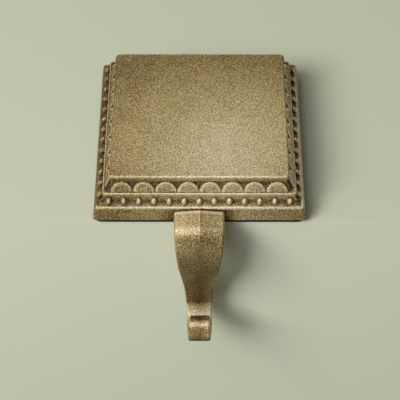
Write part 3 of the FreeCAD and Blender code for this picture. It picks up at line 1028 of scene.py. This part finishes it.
class HOLDER_OT_scallops(Operator):
    """Builds the scallops on all four sides"""
    bl_idname = "holder.scallops"
    bl_label = "Scallops"

    def execute(self, context):
        scene = context.scene
        build_scallops(scene.holder_base, scene.holder_ornament, scene.holder_finish)
        return {"FINISHED"}


class HOLDER_OT_beads(Operator):
    """Builds the beads on all four sides"""
    bl_idname = "holder.beads"
    bl_label = "Beads"

    def execute(self, context):
        scene = context.scene
        build_beads(scene.holder_base, scene.holder_ornament, scene.holder_finish)
        return {"FINISHED"}


class HOLDER_OT_arm(Operator):
    """Builds the hook arm and its tang"""
    bl_idname = "holder.arm"
    bl_label = "Hook Arm"

    def execute(self, context):
        scene = context.scene
        build_arm(scene.holder_base, scene.holder_arm, scene.holder_finish)
        build_tang(scene.holder_base, scene.holder_arm, scene.holder_finish)
        return {"FINISHED"}


class HOLDER_OT_underside(Operator):
    """Finishes the pad and the screws, which keep their own shapes"""
    bl_idname = "holder.underside"
    bl_label = "Pad and Screws"

    def execute(self, context):
        finish = context.scene.holder_finish
        for name, material in (("non_slip_pad", pad_rubber(finish)),
                               ("tang_screws", screw_steel(finish))):
            for material_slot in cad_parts[name].material_slots:
                material_slot.material = material
        return {"FINISHED"}


class HOLDER_OT_stage(Operator):
    """Sets the ledge, the light and the camera"""
    bl_idname = "holder.stage"
    bl_label = "Ledge, Light and Camera"

    def execute(self, context):
        scene = context.scene
        stage = scene.holder_stage
        self.ledge(scene, stage)
        self.world(scene, stage)
        plain, cool = (1.0, 1.0, 1.0), (0.91, 0.97, 1.33)
        # name, power, place and width in metres, tint
        lamps = {name: self.lamp(scene, name, power, place, width, tint)
                 for name, power, place, width, tint in (
                     ("key", stage.key_power, (-1.39, -1.09, 1.48), 1.10, plain),
                     ("overhead", stage.top_power, (-0.22, -0.05, 1.10), 0.55, cool),
                     ("front", stage.front_power, (-0.30, -0.59, 1.02), 0.35, cool))}
        lamps["key"].visible_glossy = False
        lamps["overhead"].visible_diffuse = False
        self.camera(scene, stage)
        scene.view_settings.view_transform = "Standard"
        return {"FINISHED"}

    @staticmethod
    def ledge(scene, stage):
        """Flat top under the pad and an upright front behind the arm, joined by a round edge."""
        reach, drop = 3.0, 1.5
        arm_back = -52.4 * MM
        bm = bmesh.new()
        bmesh.ops.create_grid(bm, x_segments=1, y_segments=1, size=reach)
        bmesh.ops.translate(bm, vec=(0, reach + arm_back + stage.front_gap, 0), verts=bm.verts)
        front = min(bm.edges, key=lambda edge: edge.verts[0].co.y + edge.verts[1].co.y)
        grown = bmesh.ops.extrude_edge_only(bm, edges=[front])
        bmesh.ops.translate(bm, vec=(0, 0, -drop), verts=points_in(grown["geom"]))
        bmesh.ops.bevel(bm, geom=[front], affect="EDGES", offset=stage.edge_radius,
                        offset_type="OFFSET", segments=8, profile=0.5, material=-1)
        bmesh.ops.recalc_face_normals(bm, faces=bm.faces)
        mesh = bpy.data.meshes.new("ledge")
        bm.to_mesh(mesh)
        bm.free()
        faces_down = mesh.polygons[0].normal.z < -0.1
        if faces_down:
            mesh.flip_normals()
        mesh.shade_smooth()
        mesh.materials.append(ledge_paint(stage))
        ledge = bpy.data.objects.new("ledge", mesh)
        scene.collection.objects.link(ledge)

    @staticmethod
    def world(scene, stage):
        """Soft room light: bright above, dim below and stronger from the left; the backdrop's
        colour to the camera."""
        world = bpy.data.worlds.new("room")
        world.use_nodes = True
        tree = world.node_tree
        place = node(tree, "ShaderNodeTexCoord").outputs["Generated"]
        split = node(tree, "ShaderNodeSeparateXYZ", Vector=place)
        height = stretch(tree, split.outputs["Z"], -1.0, 1.0, 0.0, 1.0)
        # (height from straight below to straight above, brightness)
        stops = ((0.0, 0.02), (0.12, 0.08), (0.26, 0.46), (0.36, 0.34), (0.50, 0.22),
                 (0.70, 0.24), (0.87, 0.46), (1.0, 0.56))
        room = ramp(tree, height, [(share, (bright, bright, bright * stage.warmth))
                                   for share, bright in stops])
        left_level, right_level = 1.74, 0.12
        side = stretch(tree, split.outputs["X"], -0.7, 0.7, left_level, right_level)
        level = node(tree, "ShaderNodeVectorMath", operation="SCALE", Scale=side)
        attach(tree, level.inputs[0], room)
        path = node(tree, "ShaderNodeLightPath")
        mix = node(tree, "ShaderNodeMix", data_type="RGBA")
        attach(tree, mix.inputs["Factor"], path.outputs["Is Camera Ray"])
        attach(tree, mix.inputs["A"], level.outputs["Vector"])
        attach(tree, mix.inputs["B"], (*stage.backdrop, 1.0))
        attach(tree, tree.nodes["Background"].inputs["Color"], mix.outputs["Result"])
        scene.world = world

    @staticmethod
    def lamp(scene, name, power, place, width, tint):
        """A square soft lamp aimed at the object."""
        light = bpy.data.lights.new(name, "AREA")
        light.energy = power
        light.size = width
        light.color = tint
        lamp = bpy.data.objects.new(name, light)
        lamp.location = place
        aim = Vector((0, -0.02, 0)) - Vector(place)
        lamp.rotation_euler = aim.to_track_quat("-Z", "Y").to_euler()
        scene.collection.objects.link(lamp)
        return lamp

    @staticmethod
    def camera(scene, stage):
        """The photograph's camera."""
        forward = Vector((math.sin(stage.yaw) * math.cos(stage.pitch),
                          math.cos(stage.yaw) * math.cos(stage.pitch), -math.sin(stage.pitch)))
        right = Vector((math.cos(stage.yaw), -math.sin(stage.yaw), 0))
        up = right.cross(forward)
        turned = Matrix((right, up, -forward)).transposed()
        turned = turned @ Matrix.Rotation(stage.roll, 3, "Z")
        data = bpy.data.cameras.new("photo_camera")
        data.lens = stage.lens
        data.clip_start = 0.01
        camera = bpy.data.objects.new("photo_camera", data)
        place = Vector((stage.camera_x, stage.camera_y, stage.camera_z))
        camera.matrix_world = Matrix.Translation(place) @ turned.to_4x4()
        scene.collection.objects.link(camera)
        scene.camera = camera


OPERATORS = (HOLDER_OT_base, HOLDER_OT_scallops, HOLDER_OT_beads, HOLDER_OT_arm,
             HOLDER_OT_underside, HOLDER_OT_stage)


class HOLDER_PT_panel(Panel):
    """Lists the settings and the pieces"""
    bl_idname = "HOLDER_PT_panel"
    bl_label = "Stocking Holder"
    bl_space_type = "VIEW_3D"
    bl_region_type = "UI"
    bl_category = "Stocking Holder"

    def draw(self, context):
        for operator in OPERATORS:
            self.layout.operator(operator.bl_idname)
        for attribute, group in SETTINGS.items():
            box = self.layout.box()
            box.label(text=group.__doc__)
            settings = getattr(context.scene, attribute)
            for name in group.__annotations__:
                box.prop(settings, name)


def register():
    for group in SETTINGS.values():
        bpy.utils.register_class(group)
    for attribute, group in SETTINGS.items():
        setattr(bpy.types.Scene, attribute, PointerProperty(type=group))
    for operator in OPERATORS:
        bpy.utils.register_class(operator)
    bpy.utils.register_class(HOLDER_PT_panel)


def unregister():
    bpy.utils.unregister_class(HOLDER_PT_panel)
    for operator in reversed(OPERATORS):
        bpy.utils.unregister_class(operator)
    for attribute in SETTINGS:
        delattr(bpy.types.Scene, attribute)
    for group in reversed(SETTINGS.values()):
        bpy.utils.unregister_class(group)


def main():
    """Builds the whole scene."""
    register()
    bpy.ops.holder.base()
    bpy.ops.holder.scallops()
    bpy.ops.holder.beads()
    bpy.ops.holder.arm()
    bpy.ops.holder.underside()
    bpy.ops.holder.stage()


if __name__ == "__main__":
    main()
